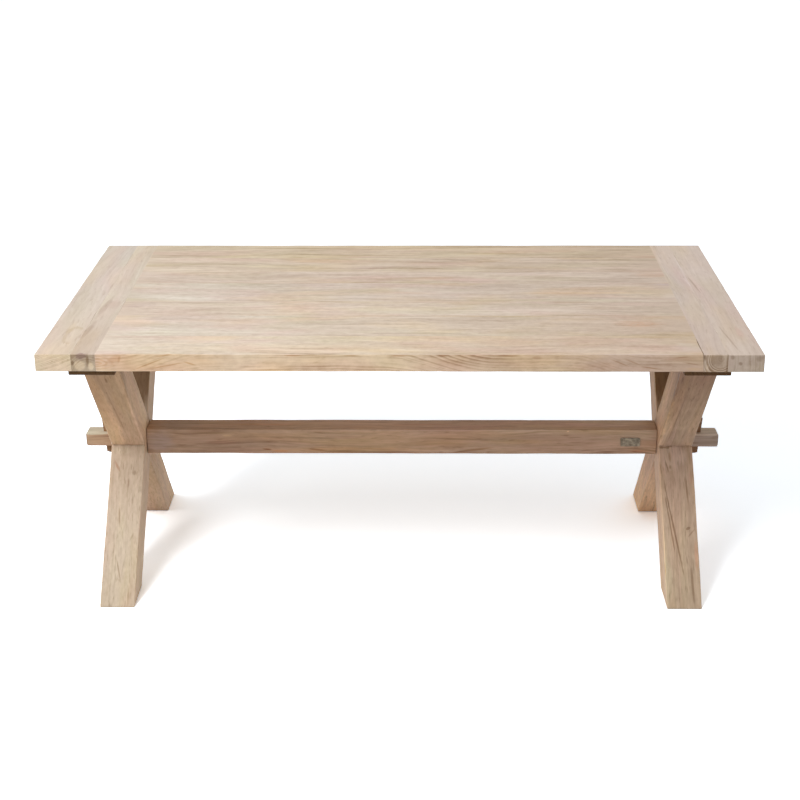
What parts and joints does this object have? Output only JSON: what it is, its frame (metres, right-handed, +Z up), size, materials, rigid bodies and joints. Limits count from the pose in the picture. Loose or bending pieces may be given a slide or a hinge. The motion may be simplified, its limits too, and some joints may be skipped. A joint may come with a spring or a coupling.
{
  "type": "sawbuck table",
  "caption": "Rectangular dining table in pale washed wood: a plank top with boarded ends on crossed-leg trestles, tied by a through-tenoned stretcher that loose wedges lock.",
  "frame": {"origin": "on the floor, under the middle of the table", "axes": "+X along the table's length, +Y from the front edge to the back edge, +Z up"},
  "size_m": [1.8, 1, 0.775],
  "materials": {
    "planks": "matte, pale washed teak",
    "end_boards": "matte, pale washed teak, a little greyer",
    "battens": "matte, sawn teak",
    "legs": "matte, washed teak with knots and dark grain",
    "stretcher": "matte, warm brown teak",
    "wedges": "matte teak",
    "hidden_wood": "planed, unfinished",
    "screws": "zinc plated",
    "plate": "worn satin metal, bare"
  },
  "bodies": {
    "table": {"top_plank_1": "planks", "top_plank_2": "planks", "top_plank_3": "planks", "top_plank_4": "planks", "top_plank_5": "planks", "top_plank_6": "planks", "top_plank_7": "planks", "left_end_inner_board": "end_boards", "left_end_outer_board": "end_boards", "right_end_inner_board": "end_boards", "right_end_outer_board": "end_boards", "left_end_tongue": "hidden_wood", "right_end_tongue": "hidden_wood", "plank_dowels": "hidden_wood", "end_dowels": "hidden_wood", "left_batten": "battens", "right_batten": "battens", "left_leg_front": "legs", "left_leg_back": "legs", "right_leg_front": "legs", "right_leg_back": "legs", "stretcher": "stretcher", "leg_screws": "screws", "top_screws": "screws", "plate": "plate", "plate_pins": "plate"},
    "left_wedge": {"left_wedge": "wedges"},
    "right_wedge": {"right_wedge": "wedges"}
  },
  "joints": [
    {"name": "left_wedge_lift", "type": "slide", "parent": "table", "child": "left_wedge", "axis": [0, 0, 1], "range_m": [0, 0.066]},
    {"name": "right_wedge_lift", "type": "slide", "parent": "table", "child": "right_wedge", "axis": [0, 0, 1], "range_m": [0, 0.066]}
  ]
}
